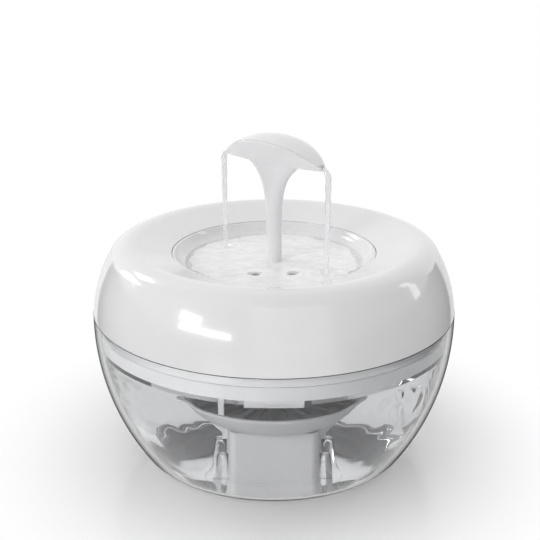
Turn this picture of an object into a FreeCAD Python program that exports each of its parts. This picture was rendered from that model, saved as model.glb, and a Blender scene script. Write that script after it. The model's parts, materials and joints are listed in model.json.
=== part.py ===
"""Pet water fountain: a clear bowl, a shell cover with a drinking tray, a leaf spout, a pump and a filter.

Millimetres. The origin is the centre of the base, +Z is up and the front is towards -Y.
"""

import FreeCAD, Part
import math
import os
import re
import Sketcher

doc = FreeCAD.newDocument("water_fountain")

# Driving dimensions, each written once
DRIVING = {
    "overall_width": 192.0,
    "widest_height": 74.5,
    "split_height": 80.0,
    "crest_height": 115.3,
    "part_gap": 0.3,
    "shaft_clearance": 0.05,
    "bowl_side_radius": 128.0,
    "bowl_corner_radius": 9.0,
    "bowl_wall": 3.0,
    "bowl_floor": 3.5,
    "foot_ring_width": 5.0,
    "foot_recess": 0.8,
    "post_radius": 2.2,
    "post_height": 12.0,
    "cover_side_radius": 67.8,
    "crest_radius": 11.0,
    "shoulder_radius": 14.0,
    "well_fall": 0.31,
    "cover_wall": 2.4,
    "skirt_wall": 2.0,
    "skirt_depth": 5.4,
    "rim_flange": 2.6,
    "well_run": 22.6,
    "ledge_depth": 6.5,
    "ledge_width": 2.9,
    "ledge_thickness": 2.4,
    "cable_notch_width": 7.0,
    "collar_height": 6.8,
    "collar_wall": 2.0,
    "spigot_height": 5.0,
    "tab_width": 27.0,
    "tab_drop": 3.6,
    "tab_thickness": 1.6,
    "leg_width": 2.6,
    "leg_thickness": 1.4,
    "leg_drop": 9.0,
    "leg_angle": -15.3,
    "clip_width": 3.0,
    "clip_height": 3.4,
    "clip_depth": 2.0,
    "tray_edge": 5.8,
    "tray_foot_wall": 1.8,
    "tray_lip_width": 1.2,
    "tray_curl_radius": 9.0,
    "curl_run": 6.5,
    "tray_basin_depth": 5.5,
    "tray_fall": 2.0,
    "tray_wall": 2.2,
    "drain_circle_radius": 24.0,
    "drain_hole_radius": 2.3,
    "drain_holes": 8,
    "boss_wall": 2.2,
    "boss_depth": 8.4,
    "sleeve_reach": 2.6,
    "connector_wall": 2.6,
    "connector_flange_width": 1.0,
    "connector_flange_thickness": 1.1,
    "connector_step": 1.0,
    "socket_depth": 7.0,
    "stem_radius": 4.2,
    "stem_bore": 2.7,
    "stem_straight": 24.0,
    "cap_length": 64.8,
    "cap_width": 23.0,
    "cap_tip_width": 4.0,
    "tip_thickness": 1.1,
    "crown_height": 170.4,
    "arch_drop": 13.0,
    "crown_rise": 2.7,
    "cap_side_angle": 28.0,
    "cap_turn": -41.3,
    "lip_width": 1.3,
    "leaf_thickness": 1.4,
    "leaf_rise": 0.3,
    "leaf_fit": 0.15,
    "chamber_inset": 3.0,
    "chamber_floor": 2.0,
    "tool_margin": 5.0,
    "outlet_width": 1.8,
    "outlet_floor": 0.6,
    "riser_bore": 4.05,
    "riser_wall": 1.5,
    "riser_top_gap": 1.6,
    "box_width": 35.6,
    "box_depth": 34.0,
    "box_height": 22.7,
    "box_wall": 1.6,
    "box_corner": 3.0,
    "inlet_slot_width": 1.8,
    "inlet_slot_height": 9.0,
    "inlet_slot_pitch": 4.4,
    "inlet_slots": 5,
    "casing_width": 26.0,
    "casing_height": 17.2,
    "casing_front": 4.4,
    "casing_back": 14.4,
    "casing_corner": 2.5,
    "cup_height": 2.7,
    "cup_radius": 4.4,
    "cup_neck_radius": 1.7,
    "cup_spacing_x": 17.0,
    "cup_spacing_y": 11.0,
    "chamber_radius": 6.9,
    "chamber_depth": 8.0,
    "magnet_radius": 3.2,
    "magnet_length": 8.0,
    "magnet_running_gap": 0.4,
    "magnet_tube_wall": 0.8,
    "stator_radius": 7.5,
    "stator_wall": 0.7,
    "stator_length": 7.2,
    "coil_length": 6.6,
    "potting_thickness": 1.4,
    "nozzle_radius": 4.0,
    "nozzle_bore": 2.8,
    "nozzle_height": 7.6,
    "plate_thickness": 2.4,
    "intake_circle_radius": 4.4,
    "intake_hole_radius": 1.1,
    "intake_holes": 8,
    "shaft_radius": 0.8,
    "bush_radius": 1.8,
    "bush_length": 1.0,
    "impeller_radius": 6.2,
    "impeller_hub_radius": 2.0,
    "impeller_disc": 0.8,
    "blade_thickness": 0.9,
    "blades": 6,
    "sponge_thickness": 7.4,
    "gland_radius": 3.0,
    "gland_length": 4.2,
    "gland_offset_x": 9.6,
    "gland_bore": 1.6,
    "dish_radius": 36.5,
    "dish_base_radius": 20.0,
    "dish_height": 12.0,
    "dish_side_radius": 30.0,
    "dish_wall": 1.8,
    "dish_hole_radius": 8.0,
    "clip_leg_width": 6.0,
    "clip_leg_thickness": 2.0,
    "clip_leg_drop": 7.0,
    "gusset_reach": 6.5,
    "gusset_thickness": 1.6,
    "pad_thickness": 7.3,
    "pad_top_radius": 30.5,
    "filter_hole_radius": 8.6,
    "lid_radius": 31.4,
    "lid_thickness": 1.4,
    "fin_height": 1.7,
    "fin_thickness": 1.0,
    "fin_inner_radius": 11.0,
    "fins": 16,
    "lid_slot_width": 1.6,
    "lid_slot_inner": 15.0,
    "lid_slot_outer": 27.0,
}

# Sizes worked out from the driving ones
DERIVED = {
    "bowl_side_centre": "overall_width / 2 - bowl_side_radius",
    "bowl_corner_reach": "bowl_side_radius - bowl_corner_radius",
    "base_radius": "bowl_side_centre + sqrt(bowl_corner_reach ^ 2 - (widest_height - bowl_corner_radius) ^ 2)",
    "corner_run": "(base_radius - bowl_side_centre) / bowl_corner_reach",
    "corner_fall": "(widest_height - bowl_corner_radius) / bowl_corner_reach",
    "rim_height": "split_height - part_gap",
    "rim_outer": "bowl_side_centre + sqrt(bowl_side_radius ^ 2 - (rim_height - widest_height) ^ 2)",
    "bowl_inner_radius": "bowl_side_radius - bowl_wall",
    "rim_inner": "bowl_side_centre + sqrt(bowl_inner_radius ^ 2 - (rim_height - widest_height) ^ 2)",
    "inner_corner": "bowl_corner_radius - bowl_wall",
    "floor_radius": "base_radius + sqrt(inner_corner ^ 2 - (bowl_corner_radius - bowl_floor) ^ 2)",
    "cover_side_centre": "overall_width / 2 - cover_side_radius",
    "crest_centre_height": "crest_height - crest_radius",
    "crest_reach": "cover_side_radius - crest_radius",
    "crest_circle": "cover_side_centre + sqrt(crest_reach ^ 2 - (crest_centre_height - widest_height) ^ 2)",
    "crest_run": "(crest_circle - cover_side_centre) / crest_reach",
    "crest_climb": "(crest_centre_height - widest_height) / crest_reach",
    "cover_edge": "cover_side_centre + sqrt(cover_side_radius ^ 2 - (split_height - widest_height) ^ 2)",
    "cover_inner_side": "cover_side_radius - cover_wall",
    "flange_height": "split_height + rim_flange",
    "flange_inner": "cover_side_centre + sqrt(cover_inner_side ^ 2 - (flange_height - widest_height) ^ 2)",
    "seam_radius": "crest_circle - well_run",
    "shoulder_cos": "1 / sqrt(1 + well_fall ^ 2)",
    "shoulder_sin": "well_fall * shoulder_cos",
    "shoulder_drop": "shoulder_radius * (1 - shoulder_cos)",
    "seam_height": "crest_height - shoulder_drop - well_fall * (well_run - shoulder_radius * shoulder_sin)",
    "ledge_height": "seam_height - ledge_depth",
    "ledge_inner": "seam_radius - ledge_width",
    "skirt_outer": "rim_inner - part_gap",
    "skirt_inner": "skirt_outer - skirt_wall",
    "skirt_bottom": "split_height - skirt_depth",
    "collar_top": "skirt_bottom - part_gap",
    "collar_bottom": "collar_top - collar_height",
    "collar_outer": "bowl_side_centre + sqrt(bowl_inner_radius ^ 2 - (collar_bottom - widest_height) ^ 2) - part_gap",
    "spigot_outer": "skirt_inner",
    "spigot_inner": "spigot_outer - collar_wall",
    "tray_flange_bottom": "ledge_height + part_gap",
    "tray_top": "tray_flange_bottom + tray_edge",
    "tray_outer": "seam_radius - part_gap",
    "tray_foot_inner": "tray_outer - tray_foot_wall",
    "basin_height": "tray_top - tray_basin_depth",
    "tray_centre_height": "basin_height - tray_fall",
    "tray_basin_radius": "tray_outer - tray_lip_width - curl_run",
    "curl_chord": "sqrt(curl_run ^ 2 + tray_basin_depth ^ 2)",
    "curl_reach": "sqrt(tray_curl_radius ^ 2 - curl_chord ^ 2 / 4)",
    "curl_centre": "tray_basin_radius + curl_run / 2 - curl_reach * tray_basin_depth / curl_chord",
    "curl_centre_height": "basin_height + tray_basin_depth / 2 + curl_reach * curl_run / curl_chord",
    "curl_under_radius": "tray_curl_radius + tray_wall",
    "connector_outer": "stem_radius + shaft_clearance + connector_wall",
    "boss_bore": "connector_outer + part_gap",
    "boss_outer": "boss_bore + boss_wall",
    "boss_bottom": "tray_centre_height - boss_depth",
    "sleeve_bottom": "boss_bottom - sleeve_reach",
    "flange_bottom": "tray_centre_height + part_gap",
    "flange_top": "flange_bottom + connector_flange_thickness",
    "flange_radius": "connector_outer + connector_flange_width",
    "stem_bottom": "flange_top - socket_depth",
    "step_top": "stem_bottom - part_gap",
    "step_bottom": "step_top - connector_step",
    "riser_outer": "riser_bore + riser_wall",
    "connector_lower_bore": "riser_outer + part_gap",
    "riser_top": "step_bottom - riser_top_gap",
    "stem_straight_top": "flange_top + stem_straight",
    "half_length": "cap_length / 2",
    "half_width": "cap_width / 2",
    "half_tip": "cap_tip_width / 2",
    "tip_height": "crown_height - arch_drop",
    "cap_base_height": "tip_height - tip_thickness",
    "cap_side_slope": "tan(cap_side_angle)",
    "keel_length": "half_length - cap_side_slope * tip_thickness",
    "keel_width": "half_width - cap_side_slope * (arch_drop - crown_rise + tip_thickness)",
    "keel_tip": "half_tip - cap_side_slope * tip_thickness",
    "arch_radius": "(half_length ^ 2 + arch_drop ^ 2) / (2 * arch_drop)",
    "arch_centre_height": "crown_height - arch_radius",
    "crown_radius": "(half_width ^ 2 + crown_rise ^ 2) / (2 * crown_rise)",
    "barrel_half": "half_width + 3",
    "box_top": "bowl_floor + box_height",
    "casing_bottom": "bowl_floor + cup_height",
    "casing_top": "casing_bottom + casing_height",
    "pump_axis": "casing_bottom + casing_height / 2",
    "magnet_bore": "magnet_radius + magnet_running_gap",
    "magnet_tube": "magnet_bore + magnet_tube_wall",
    "chamber_back": "chamber_depth - casing_front",
    "magnet_end": "chamber_back + 2 * magnet_running_gap + magnet_length",
    "gland_height": "pump_axis + 4",
    "dish_floor": "box_top + dish_wall",
    "dish_rim": "box_top + dish_height",
    "pad_bottom": "dish_floor + part_gap",
    "pad_top": "pad_bottom + pad_thickness",
    "lid_top": "pad_top + lid_thickness",
}

sheet = doc.addObject("Spreadsheet::Sheet", "Sizes")
for row, (alias, cell) in enumerate({**DRIVING, **DERIVED}.items(), start=1):
    sheet.set("A%d" % row, alias)
    sheet.set("B%d" % row, str(cell) if alias in DRIVING else "=" + cell)
    sheet.setAlias("B%d" % row, alias)
doc.recompute()


def linked(text):
    """The expression with each alias pointed at the sheet."""
    known = {**DRIVING, **DERIVED}
    return re.sub(r"[a-z][a-z0-9_]*", lambda m: "Sizes." + m.group(0) if m.group(0) in known else m.group(0), str(text))


def value(text):
    """The number that an expression of aliases has now."""
    result = sheet.evalExpression(linked(text))
    return float(getattr(result, "Value", result))


def new_body(name, multiple=False):
    body = doc.addObject("PartDesign::Body", name)
    body.Label = name
    body.AllowCompound = multiple
    return body


def new_sketch(body, name, plane="XY_Plane", offset="0", rise="0"):
    """A sketch on one of the body's own planes, moved along its normal and along its second axis."""
    sketch = body.newObject("Sketcher::SketchObject", body.Name + "_" + name)
    support = [feature for feature in body.Origin.OriginFeatures if feature.Role == plane][0]
    sketch.AttachmentSupport = (support, [""])
    sketch.MapMode = "FlatFace"
    sketch.AttachmentOffset = FreeCAD.Placement(FreeCAD.Vector(0, value(rise), value(offset)), FreeCAD.Rotation())
    sketch.setExpression("AttachmentOffset.Base.z", linked(offset))
    sketch.setExpression("AttachmentOffset.Base.y", linked(rise))
    return sketch


def turn_sketch(sketch, angle):
    """Turns a sketch in its own plane by a number of degrees."""
    base = sketch.AttachmentOffset.Base
    sketch.AttachmentOffset = FreeCAD.Placement(base, FreeCAD.Rotation(FreeCAD.Vector(0, 0, 1), value(angle)))
    sketch.setExpression("AttachmentOffset.Rotation.Angle", linked(angle))


def place(sketch, geometry, position, x, y):
    """Ties a sketch point to the sketch's axes."""
    for kind, text, axis in (("DistanceX", x, -2), ("DistanceY", y, -1)):
        if str(text) == "0":
            sketch.addConstraint(Sketcher.Constraint("PointOnObject", geometry, position, axis))
            continue
        number = sketch.addConstraint(Sketcher.Constraint(kind, -1, 1, geometry, position, value(text)))
        sketch.setExpression("Constraints[%d]" % number, linked(text))


def draw_outline(sketch, points):
    """A closed outline. A point is (x, y), or (x, y, radius, turn) where an arc leaves it, turning ccw or cw."""
    corners = [FreeCAD.Vector(value(point[0]), value(point[1]), 0) for point in points]
    edges = []
    for index, point in enumerate(points):
        start, end = corners[index], corners[(index + 1) % len(points)]
        if len(point) == 2:
            geometry = sketch.addGeometry(Part.LineSegment(start, end), False)
            edges.append((geometry, 1, 2))
            continue
        radius = value(point[2])
        chord = end - start
        side = 1 if point[3] == "ccw" else -1
        height = math.sqrt(max(radius ** 2 - (chord.Length / 2) ** 2, 0))
        centre = (start + end) / 2 + FreeCAD.Vector(-chord.y, chord.x, 0) * (side * height / chord.Length)
        first, last = (start, end) if side == 1 else (end, start)
        angles = [math.atan2(p.y - centre.y, p.x - centre.x) for p in (first, last)]
        circle = Part.Circle(centre, FreeCAD.Vector(0, 0, 1), radius)
        geometry = sketch.addGeometry(Part.ArcOfCircle(circle, *angles), False)
        edges.append((geometry, 1, 2) if side == 1 else (geometry, 2, 1))
    for index, (geometry, _, end) in enumerate(edges):
        following = edges[(index + 1) % len(edges)]
        sketch.addConstraint(Sketcher.Constraint("Coincident", geometry, end, following[0], following[1]))
    for (geometry, start, _), point in zip(edges, points):
        place(sketch, geometry, start, point[0], point[1])
        if len(point) == 4:
            number = sketch.addConstraint(Sketcher.Constraint("Radius", geometry, value(point[2])))
            sketch.setExpression("Constraints[%d]" % number, linked(point[2]))


def draw_circle(sketch, radius, x="0", y="0"):
    circle = Part.Circle(FreeCAD.Vector(value(x), value(y), 0), FreeCAD.Vector(0, 0, 1), value(radius))
    geometry = sketch.addGeometry(circle, False)
    place(sketch, geometry, 3, x, y)
    number = sketch.addConstraint(Sketcher.Constraint("Radius", geometry, value(radius)))
    sketch.setExpression("Constraints[%d]" % number, linked(radius))


def rectangle(x_low, x_high, y_low, y_high):
    return [(x_low, y_low), (x_high, y_low), (x_high, y_high), (x_low, y_high)]


def rounded_rectangle(half_x, y_low, y_high, corner):
    """A rectangle centred on the sketch's second axis, with round corners."""
    left, right = "-(%s)" % half_x, half_x
    return [
        ("%s + %s" % (left, corner), y_low),
        ("%s - %s" % (right, corner), y_low, corner, "ccw"),
        (right, "%s + %s" % (y_low, corner)),
        (right, "%s - %s" % (y_high, corner), corner, "ccw"),
        ("%s - %s" % (right, corner), y_high),
        ("%s + %s" % (left, corner), y_high, corner, "ccw"),
        (left, "%s - %s" % (y_high, corner)),
        (left, "%s + %s" % (y_low, corner), corner, "ccw"),
    ]


def revolve(body, name, points):
    """Turns an outline of (radius, height) points about the body's own Z axis."""
    sketch = new_sketch(body, name + "_outline", "XZ_Plane")
    draw_outline(sketch, points)
    feature = body.newObject("PartDesign::Revolution", body.Name + "_" + name)
    feature.Profile = sketch
    feature.ReferenceAxis = (sketch, ["V_Axis"])
    feature.Angle = 360
    return feature


def extrude(body, name, draw, low, high, plane="XY_Plane", cut=False):
    """Pads or pockets what draw puts in a sketch, between two places along the plane's global axis."""
    flipped = plane == "XZ_Plane"
    start = high if cut != flipped else low
    offset = "-(%s)" % start if flipped else start
    sketch = new_sketch(body, name + "_outline", plane, offset)
    draw(sketch)
    kind = "PartDesign::Pocket" if cut else "PartDesign::Pad"
    doc.recompute()
    feature = body.newObject(kind, body.Name + "_" + name)
    feature.Profile = sketch
    length = "(%s) - (%s)" % (high, low)
    feature.Length = value(length)
    feature.setExpression("Length", linked(length))
    return feature


def polar(body, feature, count, name):
    pattern = body.newObject("PartDesign::PolarPattern", body.Name + "_" + name)
    pattern.Originals = [feature]
    pattern.Axis = (feature.Profile[0], ["N_Axis"])
    pattern.Angle = 360
    pattern.Occurrences = int(value(count))
    pattern.setExpression("Occurrences", linked(count))
    body.Tip = pattern
    return pattern


def boolean(kind, name, shapes):
    feature = doc.addObject(kind, name)
    if kind == "Part::Cut":
        feature.Base, feature.Tool = shapes
    else:
        feature.Shapes = shapes
    return feature


def along_y(body):
    """Lays a body that was turned about Z on the pump's axis, pointing backwards."""
    body.Placement = FreeCAD.Placement(
        FreeCAD.Vector(0, 0, value("pump_axis")), FreeCAD.Rotation(FreeCAD.Vector(1, 0, 0), -90)
    )
    body.setExpression("Placement.Base.z", linked("pump_axis"))


def make_tank_bowl():
    """Clear bowl: flat foot ring, round corner, long side curve, and four posts that locate the pump box."""
    body = new_body("tank_bowl")
    revolve(body, "shell", [
        ("0", "foot_recess"),
        ("base_radius - foot_ring_width", "foot_recess"),
        ("base_radius - foot_ring_width", "0"),
        ("base_radius", "0", "bowl_corner_radius", "ccw"),
        ("base_radius + bowl_corner_radius * corner_run", "bowl_corner_radius - bowl_corner_radius * corner_fall",
         "bowl_side_radius", "ccw"),
        ("rim_outer", "rim_height"),
        ("rim_inner", "rim_height", "bowl_inner_radius", "cw"),
        ("base_radius + inner_corner * corner_run", "bowl_corner_radius - inner_corner * corner_fall",
         "inner_corner", "cw"),
        ("floor_radius", "bowl_floor"),
        ("0", "bowl_floor"),
    ])
    across = "box_width / 2 + part_gap + post_radius"
    along = "box_depth / 2 - box_corner - post_radius"
    for side_x, side_y in ((-1, -1), (1, -1), (1, 1), (-1, 1)):
        x, y = "%d * (%s)" % (side_x, across), "%d * (%s)" % (side_y, along)
        extrude(body, "post_%d_%d" % (side_x + 1, side_y + 1), lambda sketch: draw_circle(sketch, "post_radius", x, y),
                "bowl_floor / 2", "bowl_floor + post_height")
    return body


def make_top_cover():
    """White shell: side, crest and shoulder in tangent arcs, a sloping well, a ledge for the tray and a skirt."""
    body = new_body("top_cover")
    crest_inner = "(crest_radius - cover_wall)"
    shoulder_inner = "(shoulder_radius - cover_wall)"
    shoulder_centre = "(crest_height - shoulder_radius)"
    revolve(body, "shell", [
        ("cover_edge", "split_height", "cover_side_radius", "ccw"),
        ("crest_circle + crest_radius * crest_run", "crest_centre_height + crest_radius * crest_climb",
         "crest_radius", "ccw"),
        ("crest_circle", "crest_height", "shoulder_radius", "ccw"),
        ("crest_circle - shoulder_radius * shoulder_sin", shoulder_centre + " + shoulder_radius * shoulder_cos"),
        ("seam_radius", "seam_height"),
        ("seam_radius", "ledge_height"),
        ("ledge_inner", "ledge_height"),
        ("ledge_inner", "ledge_height - ledge_thickness"),
        ("seam_radius + cover_wall", "ledge_height - ledge_thickness"),
        ("seam_radius + cover_wall", "seam_height + well_fall * cover_wall - cover_wall / shoulder_cos"),
        ("crest_circle - %s * shoulder_sin" % shoulder_inner,
         "%s + %s * shoulder_cos" % (shoulder_centre, shoulder_inner), shoulder_inner, "cw"),
        ("crest_circle", "crest_height - cover_wall", crest_inner, "cw"),
        ("crest_circle + %s * crest_run" % crest_inner, "crest_centre_height + %s * crest_climb" % crest_inner,
         "cover_inner_side", "cw"),
        ("flange_inner", "flange_height"),
        ("skirt_inner", "flange_height"),
        ("skirt_inner", "skirt_bottom"),
        ("skirt_outer", "skirt_bottom"),
        ("skirt_outer", "split_height"),
    ])
    notch = rectangle("-cable_notch_width / 2", "cable_notch_width / 2", "skirt_bottom - 1", "split_height + 1")
    extrude(body, "cable_notch", lambda sketch: draw_outline(sketch, notch),
            "skirt_inner - 3", "overall_width / 2 + 1", "XZ_Plane", cut=True)
    return body


def make_collar_ring():
    """Ring that plugs into the cover's skirt, with a front tab and two thin guide legs in the bowl."""
    body = new_body("collar_ring")
    revolve(body, "ring", [
        ("spigot_inner", "collar_bottom"),
        ("collar_outer", "collar_bottom"),
        ("collar_outer", "collar_top"),
        ("spigot_outer", "collar_top"),
        ("spigot_outer", "collar_top + spigot_height"),
        ("spigot_inner", "collar_top + spigot_height"),
    ])
    tab = rectangle("-tab_width / 2", "tab_width / 2", "-(collar_outer - 1.5)", "-(collar_outer - 1.5 - tab_thickness)")
    extrude(body, "front_tab", lambda sketch: draw_outline(sketch, tab),
            "collar_bottom - tab_drop", "collar_bottom + 1")
    leg = rectangle("-leg_width / 2", "leg_width / 2", "-(collar_outer - 2)", "-(collar_outer - 2 - leg_thickness)")

    def draw_leg(sketch):
        turn_sketch(sketch, "leg_angle")
        draw_outline(sketch, leg)

    feature = extrude(body, "guide_leg", draw_leg, "collar_bottom - leg_drop", "collar_bottom + 1")
    polar(body, feature, "2", "guide_legs")
    return body


def make_collar_clip():
    """Small clip beside the front tab, hung under the collar."""
    body = new_body("collar_clip")
    start = "tab_width / 2 + part_gap"
    outline = rectangle(start, start + " + clip_width", "-(collar_outer - 2)", "-(collar_outer - 2 - clip_depth)")
    extrude(body, "block", lambda sketch: draw_outline(sketch, outline), "collar_bottom - clip_height", "collar_bottom")
    return body


def make_drinking_tray():
    """Dished tray: flange on the cover's ledge, curled edge, basin falling to a centre boss, ring of drain holes."""
    body = new_body("drinking_tray")
    under = "curl_centre_height - sqrt(curl_under_radius ^ 2 - (%s - curl_centre) ^ 2)"
    revolve(body, "dish", [
        ("tray_foot_inner", "tray_flange_bottom"),
        ("tray_outer", "tray_flange_bottom"),
        ("tray_outer", "tray_top"),
        ("tray_outer - tray_lip_width", "tray_top", "tray_curl_radius", "cw"),
        ("tray_basin_radius", "basin_height"),
        ("boss_bore", "tray_centre_height"),
        ("boss_bore", "boss_bottom"),
        ("boss_outer", "boss_bottom"),
        ("boss_outer", "tray_centre_height - tray_wall"),
        ("tray_basin_radius", under % "tray_basin_radius", "curl_under_radius", "ccw"),
        ("tray_foot_inner", under % "tray_foot_inner"),
    ])
    feature = extrude(body, "drain_hole", lambda sketch: draw_circle(
        sketch, "drain_hole_radius", "drain_circle_radius * sin(22.5 deg)", "-drain_circle_radius * cos(22.5 deg)"),
        "tray_centre_height - 3 * tray_wall", "tray_top", cut=True)
    polar(body, feature, "drain_holes", "drain_ring")
    return body


def make_spout_connector():
    """Silicone sleeve: flange on the tray, socket for the stem above a step, wider socket below for the riser."""
    body = new_body("spout_connector")
    revolve(body, "sleeve", [
        ("connector_lower_bore", "sleeve_bottom"),
        ("connector_outer", "sleeve_bottom"),
        ("connector_outer", "flange_bottom"),
        ("flange_radius", "flange_bottom"),
        ("flange_radius", "flange_top"),
        ("stem_radius + shaft_clearance", "flange_top"),
        ("stem_radius + shaft_clearance", "step_top"),
        ("stem_bore", "step_top"),
        ("stem_bore", "step_bottom"),
        ("connector_lower_bore", "step_bottom"),
    ])
    return body


# Half length and half width of the flare at each height above the stem's straight part, up to the cap's base
FLARE = (
    ("0", "stem_radius", "stem_radius"),
    ("0.24", "stem_radius + 0.5", "stem_radius + 0.1"),
    ("0.46", "half_length * 0.185", "stem_radius + 0.2"),
    ("0.64", "half_length * 0.25", "stem_radius + 0.3"),
    ("0.80", "half_length * 0.36", "stem_radius + 0.5"),
    ("0.92", "half_length * 0.49", "keel_width * 0.94"),
    ("1", "half_length * 0.64", "keel_width * 0.98"),
)


def draw_ellipse(sketch, along, across):
    """An ellipse on the sketch's axes, held by its half length and half width."""
    major, minor = value(along), value(across)
    if abs(major - minor) < 1e-6:
        major = minor + 1e-3
    ellipse = Part.Ellipse(FreeCAD.Vector(major, 0, 0), FreeCAD.Vector(0, minor, 0), FreeCAD.Vector(0, 0, 0))
    sketch.addGeometry(ellipse, False)
    sketch.exposeInternalGeometry(0)
    sketch.addConstraint(Sketcher.Constraint("Coincident", 0, 3, -1, 1))
    sketch.addConstraint(Sketcher.Constraint("PointOnObject", 1, 2, -1))
    for line, text in ((1, along), (2, across)):
        number = sketch.addConstraint(Sketcher.Constraint("Distance", line, 1, line, 2, 2 * value(text)))
        sketch.setExpression("Constraints[%d]" % number, "2 * (%s)" % linked(text))


def leaf_outline(length, width, tip):
    """An outline from above with two long arcs between blunt tips, given by its half sizes."""
    length, width, tip = ("(%s)" % size for size in (length, width, tip))
    radius = "(%s ^ 2 + (%s - %s) ^ 2) / (2 * (%s - %s))" % (length, width, tip, width, tip)
    return [
        ("-" + length, "-" + tip, radius, "ccw"),
        (length, "-" + tip),
        (length, tip, radius, "ccw"),
        ("-" + length, tip),
    ]


def leaf_prism(name, inset, low):
    """An upright prism of the leaf's outline, drawn in by an inset."""
    body = new_body(name)
    outline = leaf_outline("half_length - (%s)" % inset, "half_width - (%s)" % inset, "half_tip")
    extrude(body, "prism", lambda sketch: draw_outline(sketch, outline), low, "crown_height + tool_margin")
    return body


def keel_prism(name, outline, low):
    """A prism that starts as the cap's narrow keel and widens upwards along the cap's sloping sides."""
    body = new_body(name)
    pad = extrude(body, "prism", lambda sketch: draw_outline(sketch, outline), low, "crown_height + tool_margin")
    pad.TaperAngle = value("cap_side_angle")
    pad.setExpression("TaperAngle", linked("cap_side_angle"))
    return body


def barrel(name, growth):
    """Crowned barrel lying across the cap: its top is the leaf's arch, raised or lowered by a growth."""
    body = new_body(name)
    edge = "arch_radius + %s - crown_radius + sqrt(crown_radius ^ 2 - barrel_half ^ 2)" % growth
    sketch = new_sketch(body, "section", "YZ_Plane", "0", "arch_centre_height")
    draw_outline(sketch, [
        ("-barrel_half", "0"),
        ("barrel_half", "0"),
        ("barrel_half", edge, "crown_radius", "ccw"),
        ("-barrel_half", edge),
    ])
    feature = body.newObject("PartDesign::Revolution", name + "_turn")
    feature.Profile = sketch
    feature.ReferenceAxis = (sketch, ["H_Axis"])
    feature.Angle = 360
    return body


def turn_cap(feature):
    """Turns a spout piece so that its right tip comes forward."""
    feature.Placement = FreeCAD.Placement(
        FreeCAD.Vector(0, 0, 0), FreeCAD.Rotation(FreeCAD.Vector(0, 0, 1), value("cap_turn"))
    )


def make_spout():
    """Stem that flares into the cap's lower half, and the leaf plate set into the cap's lip."""
    stem = new_body("stem_flare")
    extrude(stem, "straight", lambda sketch: draw_circle(sketch, "stem_radius"), "stem_bottom", "stem_straight_top")
    sections = []
    for index, (share, along, across) in enumerate(FLARE):
        height = "stem_straight_top + %s * (cap_base_height + 1 - stem_straight_top)" % share
        sketch = new_sketch(stem, "flare_%d" % index, "XY_Plane", height)
        draw_ellipse(sketch, along, across)
        sections.append(sketch)
    loft = stem.newObject("PartDesign::AdditiveLoft", "stem_flare_loft")
    loft.Profile = sections[0]
    loft.Sections = sections[1:]

    arch = barrel("arch", "0")
    arch_low = barrel("arch_low", "(0 - leaf_thickness)")
    arch_high = barrel("arch_high", "leaf_rise")
    keel = leaf_outline("keel_length", "keel_width", "keel_tip")
    cap = boolean("Part::MultiCommon", "cap_block", [keel_prism("cap_prism", keel, "cap_base_height"), arch])
    seat = boolean("Part::Cut", "leaf_seat", [leaf_prism("seat_prism", "lip_width", "cap_base_height"), arch_low])
    floor = "cap_base_height + chamber_floor"
    room = leaf_outline("keel_length - chamber_inset", "keel_width - chamber_inset / 3", "keel_tip")
    chamber_shapes = [keel_prism("chamber_prism", room, floor), arch_low]
    chamber = boolean("Part::MultiCommon", "cap_chamber", chamber_shapes)
    channel = new_body("channel", multiple=True)
    extrude(channel, "bore", lambda sketch: draw_circle(sketch, "stem_bore"), "stem_bottom - 1", floor + " + 1")
    outlet = rectangle("0 - half_length - 2", "half_length + 2", "-outlet_width / 2", "outlet_width / 2")
    extrude(channel, "outlets", lambda sketch: draw_outline(sketch, outlet),
            "cap_base_height + outlet_floor", floor + " + 0.4")
    solid = boolean("Part::MultiFuse", "spout_solid", [stem, cap])
    hollow = boolean("Part::MultiFuse", "spout_hollow", [seat, chamber, channel])
    spout = boolean("Part::Cut", "spout_stem", [solid, hollow])
    turn_cap(spout)

    inset = "lip_width + leaf_fit"
    plate_blank = [leaf_prism("leaf_prism", inset, "cap_base_height"), arch_high]
    blank = boolean("Part::MultiCommon", "leaf_blank", plate_blank)
    leaf = boolean("Part::Cut", "spout_leaf", [blank, arch_low])
    turn_cap(leaf)
    return [spout, leaf]


def make_riser_tube():
    body = new_body("riser_tube")
    revolve(body, "tube", rectangle("riser_bore", "riser_outer", "casing_top", "riser_top"))
    return body


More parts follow.
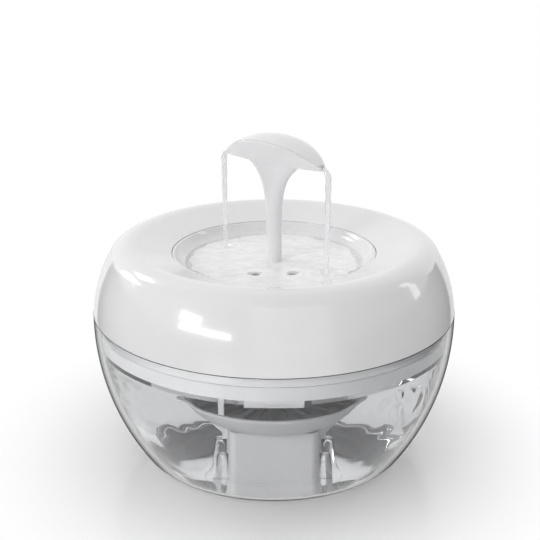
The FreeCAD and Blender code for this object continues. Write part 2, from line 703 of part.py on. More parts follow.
def make_pump_box():
    """White box over the pump: open below, a hole for the riser above, inlet slots in its sides, a gland hole."""
    body = new_body("pump_box")
    outer = rounded_rectangle("box_width / 2", "-box_depth / 2", "box_depth / 2", "box_corner")
    extrude(body, "block", lambda sketch: draw_outline(sketch, outer), "bowl_floor", "box_top")
    inner = rounded_rectangle("(box_width / 2 - box_wall)", "-(box_depth / 2 - box_wall)",
                              "(box_depth / 2 - box_wall)", "(box_corner - box_wall)")
    extrude(body, "hollow", lambda sketch: draw_outline(sketch, inner), "bowl_floor - 1", "box_top - box_wall", cut=True)
    extrude(body, "riser_hole", lambda sketch: draw_circle(sketch, "riser_outer + part_gap"),
            "box_top - 2 * box_wall", "box_top + 1", cut=True)
    extrude(body, "gland_hole", lambda sketch: draw_circle(
        sketch, "gland_radius + part_gap", "gland_offset_x", "gland_height"),
        "box_depth / 2 - 2 * box_wall", "box_depth / 2 + 1", "XZ_Plane", cut=True)
    first = "-(inlet_slots - 1) / 2 * inlet_slot_pitch"
    slot = rectangle(first + " - inlet_slot_width / 2", first + " + inlet_slot_width / 2",
                     "bowl_floor + 4", "bowl_floor + 4 + inlet_slot_height")
    feature = extrude(body, "inlet_slot", lambda sketch: draw_outline(sketch, slot),
                      "0 - box_width / 2 - 1", "box_width / 2 + 1", "YZ_Plane", cut=True)
    pattern = body.newObject("PartDesign::LinearPattern", "pump_box_inlet_slots")
    pattern.Originals = [feature]
    pattern.Direction = (feature.Profile[0], ["H_Axis"])
    pattern.Length = value("(inlet_slots - 1) * inlet_slot_pitch")
    pattern.setExpression("Length", linked("(inlet_slots - 1) * inlet_slot_pitch"))
    pattern.Occurrences = int(value("inlet_slots"))
    pattern.setExpression("Occurrences", linked("inlet_slots"))
    body.Tip = pattern
    return body


def casing_outline():
    return rounded_rectangle("casing_width / 2", "casing_bottom", "casing_top", "casing_corner")


def make_pump_casing():
    """Pump body: impeller chamber in front, magnet tube inside a coil cavity behind, nozzle on top."""
    body = new_body("pump_casing")
    extrude(body, "block", lambda sketch: draw_outline(sketch, casing_outline()),
            "-casing_front", "casing_back", "XZ_Plane")
    extrude(body, "nozzle", lambda sketch: draw_circle(sketch, "nozzle_radius"),
            "casing_top - 1", "casing_top + nozzle_height")

    def draw_cavity(sketch):
        draw_circle(sketch, "stator_radius + part_gap / 3", "0", "pump_axis")
        draw_circle(sketch, "magnet_tube", "0", "pump_axis")

    cavity = extrude(body, "coil_cavity", draw_cavity, "chamber_back + 1.2", "casing_back", "XZ_Plane", cut=True)
    cavity.Profile[0].setExpression("AttachmentOffset.Base.z", linked("0 - casing_back"))
    cavity.Reversed = True
    extrude(body, "impeller_chamber", lambda sketch: draw_circle(sketch, "chamber_radius", "0", "pump_axis"),
            "-casing_front", "chamber_back", "XZ_Plane", cut=True)
    extrude(body, "magnet_bore", lambda sketch: draw_circle(sketch, "magnet_bore", "0", "pump_axis"),
            "-casing_front", "magnet_end", "XZ_Plane", cut=True)
    extrude(body, "outlet", lambda sketch: draw_circle(sketch, "nozzle_bore"),
            "pump_axis", "casing_top + nozzle_height", cut=True)
    return body


def make_pump_cover():
    """Intake plate with a ring of holes about a blind bush seat."""
    body = new_body("pump_cover")
    extrude(body, "plate", lambda sketch: draw_outline(sketch, casing_outline()),
            "0 - casing_front - plate_thickness", "-casing_front", "XZ_Plane")
    extrude(body, "bush_seat", lambda sketch: draw_circle(sketch, "bush_radius", "0", "pump_axis"),
            "0 - casing_front - bush_length", "-casing_front", "XZ_Plane", cut=True)
    seat = body.Tip
    seat.Profile[0].setExpression("AttachmentOffset.Base.z", linked("casing_front"))
    seat.Reversed = True
    for index in range(DRIVING["intake_holes"]):
        angle = "%d * 360 deg / intake_holes" % index
        x, y = "intake_circle_radius * cos(%s)" % angle, "pump_axis + intake_circle_radius * sin(%s)" % angle
        extrude(body, "intake_hole_%d" % index, lambda sketch: draw_circle(sketch, "intake_hole_radius", x, y),
                "0 - casing_front - plate_thickness", "1 - casing_front", "XZ_Plane", cut=True)
    return body


def ring(name, inner, outer, low, high):
    """A plain ring on the pump's axis."""
    body = new_body(name)
    revolve(body, "ring", rectangle(inner, outer, low, high))
    along_y(body)
    return body


def make_impeller():
    """Six straight blades on a hub with a back disc, and a sleeve that carries the magnet."""
    body = new_body("impeller")
    bore = "shaft_radius + shaft_clearance"
    front = "0 - casing_front + part_gap + 0.1"
    back = "chamber_back - part_gap"
    revolve(body, "hub", [
        (bore, front),
        ("impeller_hub_radius", front),
        ("impeller_hub_radius", back + " - impeller_disc"),
        ("impeller_radius", back + " - impeller_disc"),
        ("impeller_radius", back),
        ("magnet_radius / 2", back),
        ("magnet_radius / 2", "chamber_back + magnet_running_gap + magnet_length"),
        (bore, "chamber_back + magnet_running_gap + magnet_length"),
    ])
    blade = rectangle("impeller_hub_radius - 0.4", "impeller_radius - 0.2", "-blade_thickness / 2", "blade_thickness / 2")
    feature = extrude(body, "blade", lambda sketch: draw_outline(sketch, blade),
                      front + " + 0.2", back + " - impeller_disc / 2")
    polar(body, feature, "blades", "blade_ring")
    along_y(body)
    return body


def make_shaft_bushes():
    """Two bushes that hold the fixed shaft, one in the intake plate and one at the magnet tube's end."""
    body = new_body("shaft_bushes", multiple=True)
    inner = "shaft_radius + shaft_clearance / 5"
    revolve(body, "front", rectangle(inner, "bush_radius", "0 - casing_front - bush_length", "-casing_front"))
    revolve(body, "rear", rectangle(inner, "bush_radius", "magnet_end - bush_length * 0.4", "magnet_end"))
    along_y(body)
    return body


def make_impeller_shaft():
    body = new_body("impeller_shaft")
    revolve(body, "pin", rectangle("0", "shaft_radius", "0 - casing_front - bush_length", "magnet_end"))
    along_y(body)
    return body


def make_suction_cups():
    """Four cups: a hollow cone on the floor, a waist and a flat head under the pump."""
    body = new_body("suction_cups", multiple=True)
    for index, (side_x, side_y) in enumerate(((-1, -1), (1, -1), (1, 1), (-1, 1))):
        sketch = new_sketch(body, "cup_%d_outline" % index, "XZ_Plane",
                            "0 - (casing_back - casing_front) / 2 + %d * cup_spacing_y / 2" % side_y)
        x = "%d * cup_spacing_x / 2" % side_x
        draw_outline(sketch, [
            (x, "bowl_floor + 1"),
            (x + " + cup_radius - 0.8", "bowl_floor"),
            (x + " + cup_radius", "bowl_floor"),
            (x + " + cup_neck_radius", "bowl_floor + cup_height * 0.6"),
            (x + " + cup_neck_radius", "bowl_floor + cup_height"),
            (x, "bowl_floor + cup_height"),
        ])
        feature = body.newObject("PartDesign::Revolution", "suction_cups_cup_%d" % index)
        feature.Profile = sketch
        feature.ReferenceAxis = (sketch, ["Edge6"])
        feature.Angle = 360
    return body


def make_pump_sponge():
    body = new_body("pump_sponge")
    back = "0 - casing_front - plate_thickness - part_gap"
    outline = rectangle("-(box_width / 2 - box_wall - part_gap)", "box_width / 2 - box_wall - part_gap",
                        "bowl_floor + part_gap", "box_top - box_wall - part_gap")
    extrude(body, "block", lambda sketch: draw_outline(sketch, outline), back + " - sponge_thickness", back, "XZ_Plane")
    return body


def make_cable_gland():
    """Rubber gland behind the pump, through the box's back wall."""
    body = new_body("cable_gland")

    def draw_gland(sketch):
        draw_circle(sketch, "gland_radius", "gland_offset_x", "gland_height")
        draw_circle(sketch, "gland_bore", "gland_offset_x", "gland_height")

    extrude(body, "tube", draw_gland, "casing_back", "casing_back + gland_length", "XZ_Plane")
    return body


def make_filter_dish():
    """White dish on the pump box, with two clip legs beside the box and a gusset behind each."""
    body = new_body("filter_dish")
    revolve(body, "dish", [
        ("dish_hole_radius", "box_top"),
        ("dish_base_radius", "box_top", "dish_side_radius", "ccw"),
        ("dish_radius", "dish_rim - 1"),
        ("dish_radius", "dish_rim"),
        ("dish_radius - dish_wall + 0.2", "dish_rim", "dish_side_radius - dish_wall", "cw"),
        ("dish_base_radius", "dish_floor"),
        ("dish_hole_radius", "dish_floor"),
    ])
    start = "box_width / 2 + part_gap"
    for side, name in ((-1, "left"), (1, "right")):
        low, high = ("-(%s + clip_leg_thickness)" % start, "-(%s)" % start)
        if side == 1:
            low, high = (start, start + " + clip_leg_thickness")
        leg = rectangle(low, high, "-clip_leg_width / 2", "clip_leg_width / 2")
        extrude(body, name + "_leg", lambda sketch: draw_outline(sketch, leg),
                "box_top - clip_leg_drop", "box_top + dish_wall / 2")
        root = "%d * (%s + clip_leg_thickness / 2)" % (side, start)
        reach = "%d * (%s + clip_leg_thickness + gusset_reach)" % (side, start)
        gusset = [(root, "box_top + 1"), (root, "box_top - clip_leg_drop + 1"), (reach, "box_top + 1.5")]
        extrude(body, name + "_gusset", lambda sketch: draw_outline(sketch, gusset),
                "-gusset_thickness / 2", "gusset_thickness / 2", "XZ_Plane")
    return body


def make_filter_pad():
    body = new_body("filter_pad")
    revolve(body, "disc", [
        ("filter_hole_radius", "pad_bottom"),
        ("dish_base_radius - part_gap", "pad_bottom"),
        ("pad_top_radius", "pad_top"),
        ("filter_hole_radius", "pad_top"),
    ])
    return body


def make_filter_lid():
    """Dark disc with radial fins, and a drain slot between each pair of fins."""
    body = new_body("filter_lid")
    revolve(body, "disc", rectangle("filter_hole_radius", "lid_radius", "pad_top", "lid_top"))
    fin = rectangle("fin_inner_radius", "lid_radius - 0.6", "-fin_thickness / 2", "fin_thickness / 2")
    feature = extrude(body, "fin", lambda sketch: draw_outline(sketch, fin), "lid_top - 0.5", "lid_top + fin_height")
    polar(body, feature, "fins", "fin_ring")

    def draw_slot(sketch):
        turn_sketch(sketch, "180 / fins")
        draw_outline(sketch, rectangle("lid_slot_inner", "lid_slot_outer", "-lid_slot_width / 2", "lid_slot_width / 2"))

    slot = extrude(body, "slot", draw_slot, "pad_top - 1", "lid_top + 1", cut=True)
    polar(body, slot, "fins", "slot_ring")
    return body


nodes = [
    make_tank_bowl(),
    make_top_cover(),
    make_collar_ring(),
    make_collar_clip(),
    make_drinking_tray(),
    make_spout_connector(),
    *make_spout(),
    make_riser_tube(),
    make_pump_box(),
    make_pump_casing(),
    make_pump_cover(),
    make_impeller(),
    ring("rotor_magnet", "magnet_radius / 2", "magnet_radius", "chamber_back + magnet_running_gap",
         "chamber_back + magnet_running_gap + magnet_length"),
    make_impeller_shaft(),
    make_shaft_bushes(),
    ring("stator_shell", "stator_radius - stator_wall", "stator_radius", "chamber_back + 1.4",
         "chamber_back + 1.4 + stator_length"),
    ring("coil", "magnet_tube + part_gap / 3", "stator_radius - stator_wall - part_gap / 3", "chamber_back + 1.6",
         "chamber_back + 1.6 + coil_length"),
    ring("potting_cap", "magnet_tube", "stator_radius", "casing_back - potting_thickness", "casing_back"),
    make_suction_cups(),
    make_pump_sponge(),
    make_cable_gland(),
    make_filter_dish(),
    make_filter_pad(),
    make_filter_lid(),
]
doc.recompute()

for item in doc.Objects:
    if "Invalid" in item.State or "Error" in item.State:
        raise RuntimeError("%s is %s" % (item.Name, item.State))
for node in nodes:
    if node.Shape.isNull() or not node.Shape.isValid():
        raise RuntimeError(node.Label + " has no valid shape")

os.makedirs("parts", exist_ok=True)
for node in nodes:
    node.Shape.exportStep(os.path.join("parts", node.Label + ".step"))
    box = node.Shape.BoundBox
    print("%-16s solids %d volume %9.1f z %6.1f to %6.1f" % (
        node.Label, len(node.Shape.Solids), node.Shape.Volume, box.ZMin, box.ZMax))
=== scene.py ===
"""Studio picture of the pet water fountain, in metres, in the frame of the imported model.

The base centre is the origin, +Z is up and the front is towards -Y.
"""

import json
import math

import bmesh
import bpy
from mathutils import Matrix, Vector, noise


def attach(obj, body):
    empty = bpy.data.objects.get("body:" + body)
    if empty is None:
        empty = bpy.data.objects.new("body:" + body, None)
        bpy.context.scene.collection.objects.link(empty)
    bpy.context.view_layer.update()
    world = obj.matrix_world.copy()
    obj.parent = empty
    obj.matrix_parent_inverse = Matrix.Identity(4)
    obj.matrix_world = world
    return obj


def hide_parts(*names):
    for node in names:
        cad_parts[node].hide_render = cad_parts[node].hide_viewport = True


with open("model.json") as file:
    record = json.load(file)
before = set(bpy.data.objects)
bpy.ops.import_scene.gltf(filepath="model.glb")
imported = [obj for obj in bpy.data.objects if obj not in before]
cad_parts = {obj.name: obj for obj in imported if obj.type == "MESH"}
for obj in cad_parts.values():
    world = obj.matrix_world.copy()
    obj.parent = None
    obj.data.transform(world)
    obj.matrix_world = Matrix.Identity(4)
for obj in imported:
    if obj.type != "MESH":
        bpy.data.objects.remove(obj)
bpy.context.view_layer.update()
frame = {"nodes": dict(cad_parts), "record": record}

# Sizes shared with the solids
SPLIT = 0.080
WIDEST = 0.0745
HALF_WIDTH = 0.096
BOWL_SIDE = 0.128
BOWL_CORNER = 0.009
BOWL_WALL = 0.003
BOWL_FLOOR = 0.0035
FOOT_RECESS = 0.0008
FOOT_RING = 0.005
GAP = 0.0003

# Water: levels, the pool's edge and the tray's drain holes at the front, and waves
TANK_LEVEL = 0.0655
TANK_SHRINK = 0.00005
SURFACE_RINGS = 30
SURFACE_WAVE = 0.0012
WALL_WAVE = 0.003
POOL_LEVEL = 0.1034
POOL_RADIUS = 0.0478
POOL_RINGS = 70
POOL_WAVE = 0.00022
LANDING_WAVE = 0.0005
FRONT_HOLE = (0.0092, 0.0222, 0)

# The spout's cap and the streams that leave its tips
CAP_TURN = math.radians(-41.3)
CAP_HALF_LENGTH = 0.0324
CAP_TIP_HEIGHT = 0.1574
STREAM_RADIUS = 0.0014
STREAM_INSET = 0.002
STREAM_THROW = 0.0052
STREAM_LIFT = 0.0004
STREAM_STEPS = 60
STREAM_SIDES = 20
LANDING_REACH = 0.0032

# Locating posts on the bowl's floor
POST_X = 0.0203
POST_Y = 0.0118
POST_PROFILE = (
    (0, 0.0036), (0.0022, 0.0036), (0.0022, 0.0148), (0.0019, 0.0153), (0.0012, 0.0155), (0, 0.0155),
)

# Camera, fitted to the photograph's ellipses and outline
CAMERA_DISTANCE = 0.475
CAMERA_HEIGHT = 0.2654
CAMERA_PITCH = math.radians(19.48)
FOCAL_PIXELS = 944.7
PICTURE_PIXELS = 540
AXIS_PIXEL = 274
SENSOR_WIDTH = 36

# Lamps: name, place, width, height and watts, all turned to the fountain's middle
LAMP_TARGET = (0, 0, 0.08)
LAMPS = (
    ("key", (-0.85, -0.95, 0.42), 0.75, 0.1, 3.0),
    ("key_pane", (-0.95, -0.72, 0.55), 0.3, 0.12, 1.8),
    ("window_low", (-1.05, 0.45, 0.5), 0.45, 0.26, 1.2),
    ("window_high", (-0.95, 0.6, 0.95), 0.4, 0.26, 1.4),
    ("strip", (1.05, 0.2, 0.3), 0.12, 0.8, 0.8),
    ("front", (0.25, -1.3, 0.6), 1.2, 1.2, 2.8),
)

# Dark cards at both sides, and the floor's half width and drop
FLAG_X = 0.23
FLAG_OUTLINE = ((-0.32, 0.0), (0.16, 0.0), (0.16, 0.13), (-0.32, 0.13))
FLOOR_HALF = 4.0
FLOOR_DROP = 0.0002

# Steps round a turned piece
SEGMENTS = 192


def new_material(name):
    """A material with its node tree and its Principled shader."""
    material = bpy.data.materials.new(name)
    material.use_nodes = True
    tree = material.node_tree
    return material, tree, tree.nodes["Principled BSDF"]


def fill(tree, node, inputs):
    """Sets a node's inputs to plain values, or links them to another node's output."""
    for key, value in inputs.items():
        if isinstance(value, bpy.types.NodeSocket):
            tree.links.new(value, node.inputs[key])
        else:
            node.inputs[key].default_value = value


def add_node(tree, kind, inputs=None, **settings):
    node = tree.nodes.new(kind)
    for key, value in settings.items():
        setattr(node, key, value)
    fill(tree, node, inputs or {})
    return node


def calculate(tree, operation, *values, clamp=False):
    """The result of a Math node. Each value is a number or another node's output."""
    return add_node(tree, "ShaderNodeMath", dict(enumerate(values)), operation=operation, use_clamp=clamp).outputs[0]


def calculate_vector(tree, operation, *values, output="Vector"):
    return add_node(tree, "ShaderNodeVectorMath", dict(enumerate(values)), operation=operation).outputs[output]


def map_range(tree, source, low, high, start=0.0, end=1.0, kind="SMOOTHSTEP"):
    """Maps a factor from low and high to start and end."""
    inputs = {"Value": source, "From Min": low, "From Max": high, "To Min": start, "To Max": end}
    return add_node(tree, "ShaderNodeMapRange", inputs, interpolation_type=kind).outputs["Result"]


def mix_shaders(tree, share, first, second):
    return add_node(tree, "ShaderNodeMixShader", {"Fac": share, 1: first, 2: second}).outputs[0]


def set_surface(tree, shader):
    tree.links.new(shader, tree.nodes["Material Output"].inputs["Surface"])


def object_position(tree):
    """The object's own coordinates, in metres."""
    return add_node(tree, "ShaderNodeTexCoord").outputs["Object"]


def noise_factor(tree, position, scale, detail, distortion=0.0):
    inputs = {"Vector": position, "Scale": scale, "Detail": detail, "Distortion": distortion}
    return add_node(tree, "ShaderNodeTexNoise", inputs).outputs["Fac"]


def ramp(tree, source, low, high, start=0.0, end=1.0):
    """A colour between two, by a factor."""
    node = add_node(tree, "ShaderNodeValToRGB", {"Fac": source})
    for element, position, colour in zip(node.color_ramp.elements, (start, end), (low, high)):
        element.position = position
        element.color = (*colour, 1)
    return node.outputs["Color"]


def bump_normal(tree, height, strength, distance):
    inputs = {"Height": height, "Strength": strength, "Distance": distance}
    return add_node(tree, "ShaderNodeBump", inputs).outputs["Normal"]


def moulded(name, colour, roughness, variation=0.02, bump=0.02, coat=0.0):
    """Moulded plastic: a little cloudiness in colour and gloss, and a faint orange-peel."""
    material, tree, shader = new_material(name)
    position = object_position(tree)
    cloud = noise_factor(tree, position, 35.0, 4.0)
    fine = noise_factor(tree, position, 900.0, 2.0)
    low = [max(channel - variation, 0) for channel in colour]
    fill(tree, shader, {
        "Base Color": ramp(tree, cloud, low, colour, 0.3, 0.6),
        "Roughness": map_range(tree, fine, 0.0, 1.0, roughness * 0.85, roughness * 1.2, "LINEAR"),
        "Coat Weight": coat,
        "Coat Roughness": 0.04,
        "Normal": bump_normal(tree, fine, bump, 0.0002),
    })
    return material


def clear_material(name, ior, colour, roughness, bump_scale, bump, painted_edge_shade=0.0, transmission=1.0):
    """Clear plastic or water, with a faint unevenness in its surface, and painted shade darkening its edges when a
    share for it is given.
    """
    material, tree, shader = new_material(name)
    cloud = noise_factor(tree, object_position(tree), bump_scale, 2.0)
    fill(tree, shader, {
        "Transmission Weight": transmission,
        "IOR": ior,
        "Roughness": roughness,
        "Base Color": ramp(tree, cloud, [channel * 0.985 for channel in colour], colour),
        "Normal": bump_normal(tree, cloud, bump, 0.001),
    })
    surface = shader.outputs[0]
    # Painted shade: a dark shader mixed in at grazing angles gives the edges a dark outline.
    if painted_edge_shade:
        surface = paint_edge_shade(tree, surface, painted_edge_shade)
    set_surface(tree, pass_light(tree, surface))
    return material


def paint_edge_shade(tree, shader, share):
    """Paints shade on clear plastic seen edge-on: a dark diffuse shader is mixed in by Layer Weight facing, as
    painted dark edges.
    """
    facing = add_node(tree, "ShaderNodeLayerWeight", {"Blend": 0.5}).outputs["Facing"]
    # The near-black diffuse shader below is painted shade for the dark edge, not a colour of the plastic.
    wall = add_node(tree, "ShaderNodeBsdfDiffuse", {"Color": (0.06, 0.06, 0.065, 1)}).outputs[0]
    return mix_shaders(tree, map_range(tree, facing, 0.76, 0.95, 0.0, share), shader, wall)


def pass_light(tree, shader):
    """Lets the lamps' light through a clear material, which otherwise would cast a full shadow."""
    shadow_ray = add_node(tree, "ShaderNodeLightPath").outputs["Is Shadow Ray"]
    open_air = add_node(tree, "ShaderNodeBsdfTransparent").outputs[0]
    return mix_shaders(tree, calculate(tree, "MULTIPLY", shadow_ray, 0.96), shader, open_air)


def pool_material(name):
    """Aerated water: white with bubbles, clear at its ragged edge and over the two drain holes at the front."""
    material, tree, shader = new_material(name)
    position = object_position(tree)
    flat = calculate_vector(tree, "MULTIPLY", position, (1, 1, 0))
    rag = noise_factor(tree, position, 90.0, 5.0)

    radius = calculate_vector(tree, "LENGTH", flat, output="Value")
    edge = calculate(tree, "MULTIPLY_ADD", rag, 0.012, radius)
    clear_edge = map_range(tree, edge, POOL_RADIUS + 0.001, POOL_RADIUS + 0.004)

    stretched = calculate_vector(tree, "MULTIPLY", position, (0.45, 1.0, 1.0))
    bubbles = noise_factor(tree, stretched, 170.0, 6.0, 1.2)
    thin_foam = map_range(tree, bubbles, 0.35, 0.62, 0.02, 0.22, "LINEAR")

    folded = calculate_vector(tree, "ABSOLUTE", flat)
    distance = calculate_vector(tree, "DISTANCE", folded, FRONT_HOLE, output="Value")
    torn = calculate(tree, "MULTIPLY_ADD", rag, 0.009, distance)
    holes = map_range(tree, torn, 0.0062, 0.0085, 1.0, 0.0)
    depth = add_node(tree, "ShaderNodeSeparateXYZ", {0: position}).outputs["Y"]
    front_holes = calculate(tree, "MULTIPLY", holes, calculate(tree, "LESS_THAN", depth, 0.0))

    through = calculate(tree, "MAXIMUM", thin_foam, front_holes)
    fill(tree, shader, {
        "Transmission Weight": calculate(tree, "MAXIMUM", through, clear_edge),
        "Base Color": (0.98, 0.98, 0.985, 1),
        "IOR": 1.333,
        "Roughness": 0.06,
        "Normal": bump_normal(tree, bubbles, 0.45, 0.0009),
    })
    set_surface(tree, pass_light(tree, shader.outputs[0]))
    return material


def foam_material(name, colour):
    """Open foam, with dark cells."""
    material, tree, shader = new_material(name)
    inputs = {"Vector": object_position(tree), "Scale": 700.0}
    cells = add_node(tree, "ShaderNodeTexVoronoi", inputs).outputs["Distance"]
    fill(tree, shader, {
        "Base Color": ramp(tree, cells, [channel * 0.5 for channel in colour], colour, 0.0, 0.5),
        "Roughness": 0.9,
        "Normal": bump_normal(tree, cells, 0.6, 0.0006),
    })
    return material


def metal_material(name, colour, roughness, band_scale):
    """Metal with fine bands, as on laminations or a winding."""
    material, tree, shader = new_material(name)
    inputs = {"Vector": object_position(tree), "Scale": band_scale}
    bands = add_node(tree, "ShaderNodeTexWave", inputs, bands_direction="Y").outputs["Fac"]
    fill(tree, shader, {
        "Base Color": ramp(tree, bands, [channel * 0.7 for channel in colour], colour),
        "Metallic": 1.0,
        "Roughness": roughness,
        "Normal": bump_normal(tree, bands, 0.3, 0.0002),
    })
    return material


MATERIALS = {
    # The clear plastic gets strong painted shade at its edges.
    "clear_plastic": clear_material("clear_plastic", 1.49, (0.97, 0.975, 0.98), 0.0, 12.0, 0.02, painted_edge_shade=0.95),
    "white_gloss": moulded("white_gloss", (0.82, 0.82, 0.83), 0.16, variation=0.015, bump=0.015, coat=0.6),
    "white_inner": moulded("white_inner", (0.80, 0.80, 0.81), 0.4, variation=0.03, bump=0.05),
    "dark_plastic": moulded("dark_plastic", (0.07, 0.075, 0.08), 0.45, variation=0.02, bump=0.08),
    "silicone": moulded("silicone", (0.78, 0.78, 0.79), 0.55, variation=0.03, bump=0.05),
    "foam": foam_material("foam", (0.2, 0.21, 0.22)),
    "steel": metal_material("steel", (0.6, 0.61, 0.62), 0.35, 900.0),
    "copper": metal_material("copper", (0.72, 0.4, 0.24), 0.35, 700.0),
    "magnet": moulded("magnet", (0.05, 0.05, 0.055), 0.5, variation=0.01, bump=0.1),
}
TANK_WATER = clear_material("tank_water", 1.333, (0.93, 0.935, 0.945), 0.0, 60.0, 0.03)
POOL_WATER = pool_material("pool_water")
# The streams get milder painted shade at their edges.
STREAM_WATER = clear_material(
    "stream_water", 1.333, (0.97, 0.975, 0.98), 0.02, 90.0, 0.3, painted_edge_shade=0.6, transmission=0.7,
)


def dress_nodes():
    """Gives each solid the material of its slot."""
    for subpart in frame["record"]["subparts"]:
        node = frame["nodes"][subpart["node"]]
        node.data.materials.clear()
        node.data.materials.append(MATERIALS[subpart["material_slot"]])


def mesh_object(name, mesh_builder, material):
    """A mesh object from a bmesh that a function has filled."""
    mesh = bpy.data.meshes.new(name)
    builder = bmesh.new()
    mesh_builder(builder)
    bmesh.ops.recalc_face_normals(builder, faces=builder.faces)
    builder.to_mesh(mesh)
    builder.free()
    mesh.materials.append(material)
    piece = bpy.data.objects.new(name, mesh)
    bpy.context.scene.collection.objects.link(piece)
    return piece


def shade_smooth(piece, angle=35.0):
    """Smooth shading, with edges sharper than the angle kept crisp."""
    for polygon in piece.data.polygons:
        polygon.use_smooth = True
    piece.data.set_sharp_from_angle(angle=math.radians(angle))


def arc(centre, radius, start, end, steps):
    """Points (radius, height) on an arc, in radians, ends included."""
    points = []
    for index in range(steps + 1):
        angle = start + (end - start) * index / steps
        points.append((centre[0] + radius * math.cos(angle), centre[1] + radius * math.sin(angle)))
    return points


def lathe(name, profile, material):
    """Turns a profile of (radius, height) about the Z axis. A radius of 0 closes to a point."""

    def build(builder):
        rings = []
        for radius, height in profile:
            if radius < 1e-6:
                rings.append([builder.verts.new((0, 0, height))])
                continue
            rings.append([
                builder.verts.new((
                    radius * math.cos(2 * math.pi * step / SEGMENTS),
                    radius * math.sin(2 * math.pi * step / SEGMENTS),
                    height,
                ))
                for step in range(SEGMENTS)
            ])
        for lower, upper in zip(rings, rings[1:]):
            join_rings(builder, lower, upper)

    piece = mesh_object(name, build, material)
    shade_smooth(piece)
    return piece


def join_rings(builder, lower, upper):
    """Faces between two rings of vertices, either of which may be a single point."""
    if len(lower) == 1 and len(upper) == 1:
        return
    count = max(len(lower), len(upper))
    for step in range(count):
        following = (step + 1) % count
        if len(lower) == 1:
            builder.faces.new((lower[0], upper[following], upper[step]))
        elif len(upper) == 1:
            builder.faces.new((lower[step], lower[following], upper[0]))
        else:
            builder.faces.new((lower[step], lower[following], upper[following], upper[step]))


# Centres of the bowl's two arcs
BOWL_CENTRE = (HALF_WIDTH - BOWL_SIDE, WIDEST)
CORNER_REACH = BOWL_SIDE - BOWL_CORNER
CORNER_CENTRE = (
    BOWL_CENTRE[0] + math.sqrt(CORNER_REACH ** 2 - (WIDEST - BOWL_CORNER) ** 2),
    BOWL_CORNER,
)
JOIN_ANGLE = -math.asin((WIDEST - BOWL_CORNER) / CORNER_REACH)


def bowl_inside(level):
    """The bowl's inner profile from the floor's centre up to a level."""
    side = BOWL_SIDE - BOWL_WALL
    corner = BOWL_CORNER - BOWL_WALL
    start = -math.asin((BOWL_CORNER - BOWL_FLOOR) / corner)
    top = math.asin((level - WIDEST) / side)
    return (
        [(0, BOWL_FLOOR)]
        + arc(CORNER_CENTRE, corner, start, JOIN_ANGLE, 8)
        + arc(BOWL_CENTRE, side, JOIN_ANGLE, top, 40)[1:]
    )


def finish_piece(piece, body):
    """A clear piece that rides on a body."""
    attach(piece, body)


def make_bowl():
    """The clear bowl as one fine turned shell, with the four floor posts."""
    rim = SPLIT - GAP
    outside = (
        [(0, FOOT_RECESS), (CORNER_CENTRE[0] - FOOT_RING, FOOT_RECESS), (CORNER_CENTRE[0] - FOOT_RING, 0)]
        + arc(CORNER_CENTRE, BOWL_CORNER, -math.pi / 2, JOIN_ANGLE, 16)
        + arc(BOWL_CENTRE, BOWL_SIDE, JOIN_ANGLE, math.asin((rim - WIDEST) / BOWL_SIDE), 48)[1:]
    )
    inside = list(reversed(bowl_inside(rim)))
    bowl = lathe("bowl_shell", outside + inside, MATERIALS["clear_plastic"])
    for x in (-POST_X, POST_X):
        for y in (-POST_Y, POST_Y):
            post = lathe("bowl_post_%d_%d" % (x > 0, y > 0), POST_PROFILE, MATERIALS["clear_plastic"])
            post.location = (x, y, 0)
            finish_piece(post, "tank")
    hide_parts("tank_bowl")
    finish_piece(bowl, "tank")


def make_tank_water():
    """Water in the bowl, a hair inside the wall, stirred into waves that bend what is seen through it."""
    profile = [(max(radius - TANK_SHRINK, 0), height + TANK_SHRINK) for radius, height in bowl_inside(TANK_LEVEL)]
    edge = profile[-1][0]
    surface = [(edge * (1 - ring / SURFACE_RINGS), TANK_LEVEL) for ring in range(1, SURFACE_RINGS + 1)]
    water = lathe("tank_water", profile + surface, TANK_WATER)
    for vertex in water.data.vertices:
        radius = math.hypot(vertex.co.x, vertex.co.y)
        if radius < 0.001:
            continue
        if vertex.co.z > TANK_LEVEL - 0.0001:
            spot = Vector((vertex.co.x * 45, vertex.co.y * 45, 2.0))
            vertex.co.z += SURFACE_WAVE * noise.noise(spot) * min(1, (edge - radius) * 200)
        elif vertex.co.z > BOWL_FLOOR + 0.001:
            spot = Vector((vertex.co.x * 90, vertex.co.y * 90, vertex.co.z * 60))
            ends = min(1, abs(vertex.co.z / TANK_LEVEL - 0.6) * 2.4)
            aside = min(1, max(0, abs(vertex.co.x) / radius - 0.3) * 3)
            inward = WALL_WAVE * ends * aside * abs(noise.noise(spot))
            vertex.co.x *= 1 - inward / radius
            vertex.co.y *= 1 - inward / radius
    finish_piece(water, "tank")


def make_pool():
    """Water in the drinking tray: a thin rippled sheet with rings round the two landing places."""
    tips = landing_points()

    def height(x, y):
        radius = math.hypot(x, y)
        wave = POOL_WAVE * noise.noise(Vector((x * 160, y * 160, 0.3)))
        for tip in tips:
            distance = math.hypot(x - tip.x, y - tip.y)
            wave += LANDING_WAVE * math.cos(distance * 1500) * math.exp(-distance * 150)
        return POOL_LEVEL + wave * min(1, (POOL_RADIUS - radius) * 400)

    def build(builder):
        rings = [[builder.verts.new((0, 0, height(0, 0)))]]
        for index in range(1, POOL_RINGS + 1):
            radius = POOL_RADIUS * index / POOL_RINGS
            ring = []
            for step in range(SEGMENTS):
                angle = 2 * math.pi * step / SEGMENTS
                x, y = radius * math.cos(angle), radius * math.sin(angle)
                ring.append(builder.verts.new((x, y, height(x, y))))
            rings.append(ring)
        for lower, upper in zip(rings, rings[1:]):
            join_rings(builder, lower, upper)

    pool = mesh_object("pool_water", build, POOL_WATER)
    shade_smooth(pool, 80)
    finish_piece(pool, "tray")


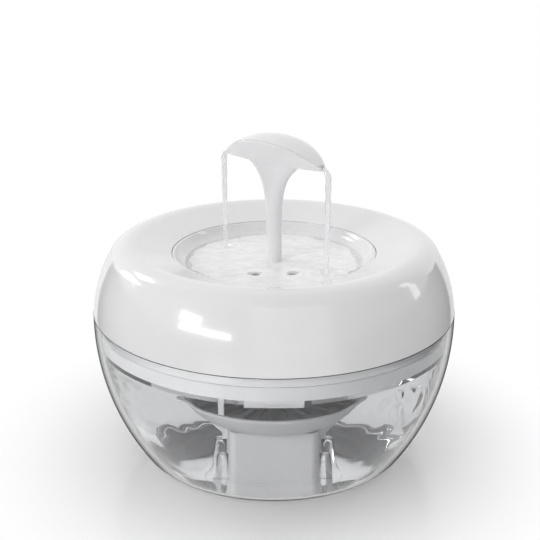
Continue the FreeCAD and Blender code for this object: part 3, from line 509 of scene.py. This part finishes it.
def tip_direction(side):
    """The way from the axis to one of the cap's tips. The side is -1 or 1."""
    return Vector((side * math.cos(CAP_TURN), side * math.sin(CAP_TURN), 0))


def landing_points():
    """Where the streams meet the pool, seen from above."""
    return [tip_direction(side) * (CAP_HALF_LENGTH + LANDING_REACH) for side in (-1, 1)]


def make_stream(name, side):
    """A thin stream that leaves the cap's tip level, bends over and falls, a little thinner on the way down."""
    direction = tip_direction(side)
    points = []
    for index in range(STREAM_STEPS + 1):
        share = index / STREAM_STEPS
        fall = (CAP_TIP_HEIGHT - POOL_LEVEL) * share ** 1.6
        run = CAP_HALF_LENGTH - STREAM_INSET + STREAM_THROW * min(1, share * 5) ** 0.5
        points.append(direction * run + Vector((0, 0, CAP_TIP_HEIGHT + STREAM_LIFT - fall)))

    def build(builder):
        rings = []
        for index, point in enumerate(points):
            share = index / STREAM_STEPS
            wobble = 1 + 0.08 * math.sin(share * 38 + side)
            radius = STREAM_RADIUS * (1.1 - 0.25 * share) * wobble
            rings.append([
                builder.verts.new(point + Vector((
                    radius * math.cos(2 * math.pi * step / STREAM_SIDES),
                    radius * math.sin(2 * math.pi * step / STREAM_SIDES),
                    0,
                )))
                for step in range(STREAM_SIDES)
            ])
        for lower, upper in zip(rings, rings[1:]):
            join_rings(builder, lower, upper)
        builder.faces.new(rings[0])
        builder.faces.new(list(reversed(rings[-1])))

    stream = mesh_object(name, build, STREAM_WATER)
    shade_smooth(stream, 60)
    finish_piece(stream, "spout")


def make_camera():
    data = bpy.data.cameras.new("camera")
    data.sensor_width = SENSOR_WIDTH
    data.lens = FOCAL_PIXELS * SENSOR_WIDTH / PICTURE_PIXELS
    data.shift_x = (PICTURE_PIXELS / 2 - AXIS_PIXEL) / PICTURE_PIXELS
    camera = bpy.data.objects.new("camera", data)
    camera.location = (0, -CAMERA_DISTANCE, CAMERA_HEIGHT)
    camera.rotation_euler = (math.pi / 2 - CAMERA_PITCH, 0, 0)
    bpy.context.scene.collection.objects.link(camera)
    bpy.context.scene.camera = camera


def make_lights():
    for name, place, width, height, power in LAMPS:
        data = bpy.data.lights.new(name, "AREA")
        data.shape = "RECTANGLE"
        data.size = width
        data.size_y = height
        data.energy = power
        light = bpy.data.objects.new(name, data)
        light.location = place
        light.rotation_euler = (Vector(LAMP_TARGET) - Vector(place)).to_track_quat("-Z", "Y").to_euler()
        bpy.context.scene.collection.objects.link(light)


def make_flags():
    """Dark cards beside the set, out of the camera's sight, that give the clear bowl its dark edges."""
    material, tree, shader = new_material("flag")
    fill(tree, shader, {"Base Color": (0.015, 0.015, 0.018, 1), "Roughness": 0.9})
    for name, x in (("flag_left", -FLAG_X), ("flag_right", FLAG_X)):
        def build(builder):
            builder.faces.new([builder.verts.new((x, y, z)) for y, z in FLAG_OUTLINE])

        flag = mesh_object(name, build, material)
        flag.visible_camera = False
        flag.visible_diffuse = False
        flag.visible_shadow = False


def make_world():
    """Pale studio surround. The camera sees white, other rays a white back and ceiling that dim to the sides."""
    world = bpy.data.worlds.new("studio")
    bpy.context.scene.world = world
    world.use_nodes = True
    tree = world.node_tree
    direction = add_node(tree, "ShaderNodeTexCoord").outputs["Generated"]
    axes = add_node(tree, "ShaderNodeSeparateXYZ", {0: direction})
    back = map_range(tree, axes.outputs["Y"], 0.15, 0.8, 0.0, 0.75)
    ceiling = map_range(tree, axes.outputs["Z"], 0.3, 1.0, 0.0, 0.36)
    level = calculate(tree, "ADD", calculate(tree, "ADD", back, ceiling), 0.36, clamp=True)
    camera_ray = add_node(tree, "ShaderNodeLightPath").outputs["Is Camera Ray"]
    fill(tree, tree.nodes["Background"], {"Color": calculate(tree, "MAXIMUM", camera_ray, level)})


def make_floor():
    """White floor: it keeps the shadow near the fountain, fades to plain white, and shows pale through the bowl."""
    material, tree, shader = new_material("floor")
    fill(tree, shader, {"Base Color": (0.9, 0.9, 0.9, 1), "Roughness": 0.12})
    path = add_node(tree, "ShaderNodeLightPath")
    radius = calculate_vector(tree, "LENGTH", object_position(tree), output="Value")
    fade = calculate(tree, "MULTIPLY", map_range(tree, radius, 0.07, 0.17), path.outputs["Is Camera Ray"])
    white = add_node(tree, "ShaderNodeEmission").outputs[0]
    seen = mix_shaders(tree, fade, shader.outputs[0], white)
    pale = add_node(tree, "ShaderNodeEmission", {"Strength": 0.62}).outputs[0]
    through = calculate(tree, "MULTIPLY", path.outputs["Is Transmission Ray"], 0.7)
    set_surface(tree, mix_shaders(tree, through, seen, pale))

    def build(builder):
        signs = ((-1, -1), (1, -1), (1, 1), (-1, 1))
        builder.faces.new([builder.verts.new((x * FLOOR_HALF, y * FLOOR_HALF, 0)) for x, y in signs])

    floor = mesh_object("floor", build, material)
    floor.location.z = -FLOOR_DROP


dress_nodes()
make_bowl()
make_tank_water()
make_pool()
make_stream("stream_left", -1)
make_stream("stream_right", 1)
make_camera()
make_lights()
make_flags()
make_world()
make_floor()
bpy.context.scene.view_settings.view_transform = "Standard"
